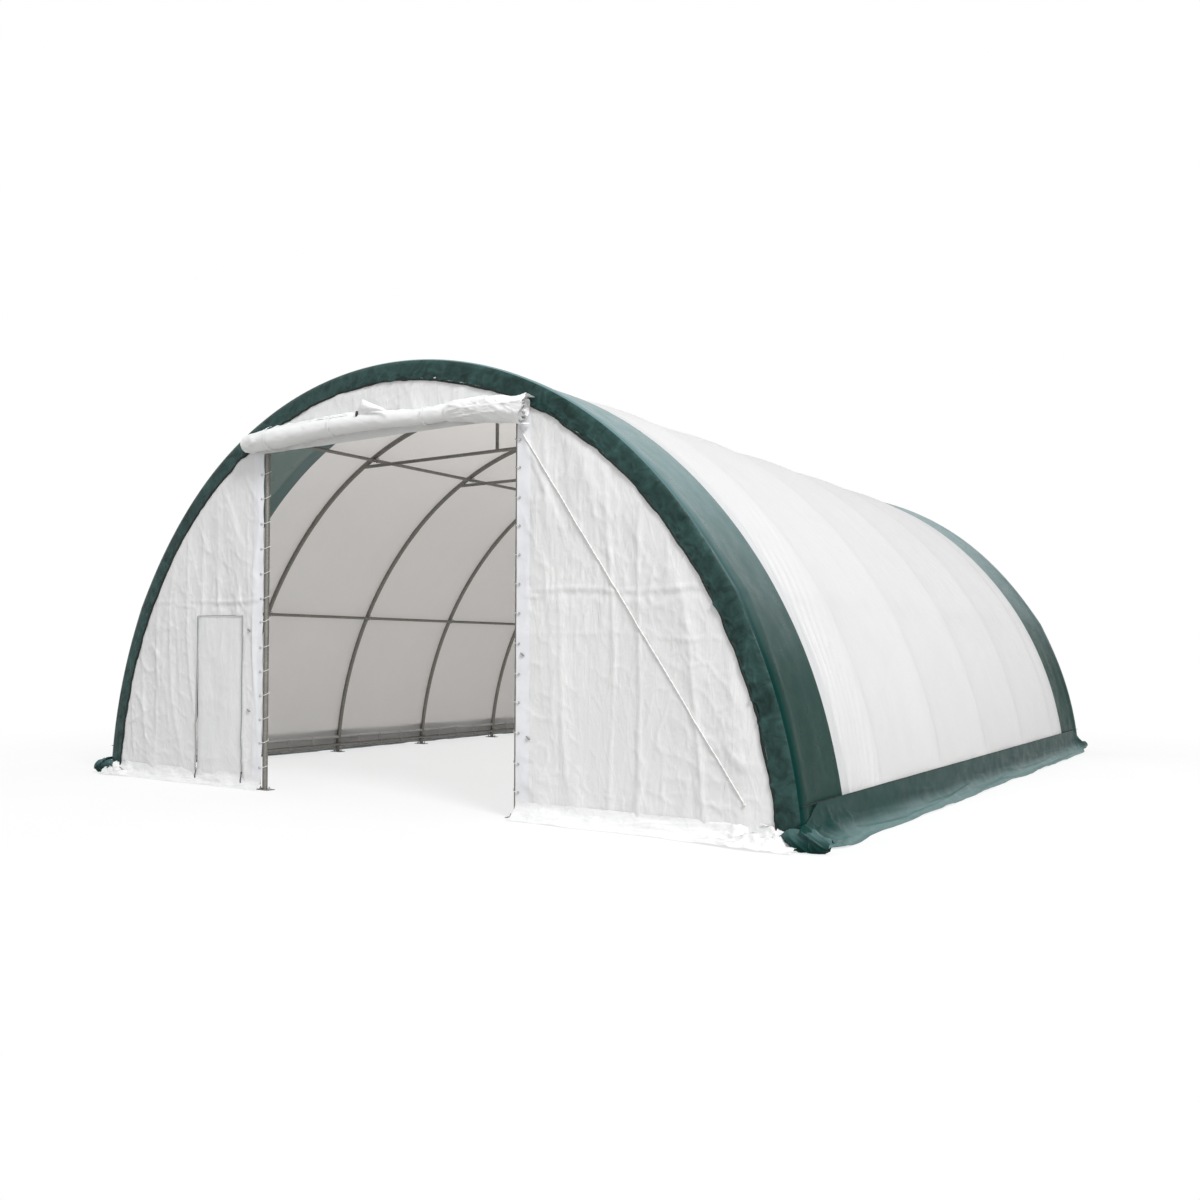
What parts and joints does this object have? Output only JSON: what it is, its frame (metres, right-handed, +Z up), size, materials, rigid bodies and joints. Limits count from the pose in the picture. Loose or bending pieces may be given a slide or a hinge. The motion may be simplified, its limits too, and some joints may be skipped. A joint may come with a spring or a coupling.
{
  "type": "fabric storage shelter",
  "caption": "Arched tubular steel storage shelter with a tarpaulin cover, green end bands, laced front wall, rolled-up main door and a zipped man door.",
  "frame": {"origin": "centre of the footprint, on the ground under the base plates", "axes": "+X to the right seen from the front, +Y to the rear wall, +Z up; the main door faces -Y"},
  "size_m": [9.544, 12.712, 4.572],
  "materials": {
    "frame_tube": "matt zinc-coated",
    "brace_tube": "matt zinc-coated",
    "plate_steel": "matt zinc-coated",
    "green_tarpaulin": "satin coated",
    "white_cover_tarpaulin": "satin coated",
    "white_wall_tarpaulin": "satin coated",
    "door_flap_tarpaulin": "satin coated",
    "rolled_tarpaulin": "satin coated",
    "white_rope": "braided"
  },
  "bodies": {
    "root": {"arch_1": "frame_tube", "arch_2": "frame_tube", "arch_3": "frame_tube", "arch_4": "frame_tube", "arch_5": "frame_tube", "arch_6": "frame_tube", "arch_7": "frame_tube", "tie_2": "brace_tube", "tie_3": "brace_tube", "tie_4": "brace_tube", "tie_5": "brace_tube", "tie_6": "brace_tube", "ridge_purlin": "brace_tube", "left_shoulder_purlin": "brace_tube", "right_shoulder_purlin": "brace_tube", "left_wall_purlin": "brace_tube", "right_wall_purlin": "brace_tube", "left_base_rail": "brace_tube", "right_base_rail": "brace_tube", "front_left_post": "frame_tube", "front_right_post": "frame_tube", "front_header": "brace_tube", "front_girts": "brace_tube", "rear_left_post": "frame_tube", "rear_right_post": "frame_tube", "rear_header": "brace_tube", "rear_girts": "brace_tube", "front_green_band": "green_tarpaulin", "white_cover": "white_cover_tarpaulin", "rear_green_band": "green_tarpaulin", "left_skirt": "green_tarpaulin", "right_skirt": "green_tarpaulin", "front_left_panel": "white_wall_tarpaulin", "front_right_panel": "white_wall_tarpaulin", "front_top_panel": "white_wall_tarpaulin", "man_door": "door_flap_tarpaulin", "rolled_door": "rolled_tarpaulin", "rear_wall": "white_wall_tarpaulin", "front_left_skirt": "white_wall_tarpaulin", "front_right_skirt": "white_wall_tarpaulin", "rear_skirt": "white_wall_tarpaulin", "left_base_plates": "plate_steel", "right_base_plates": "plate_steel", "post_base_plates": "plate_steel", "door_pull_rope": "white_rope"}
  },
  "joints": []
}
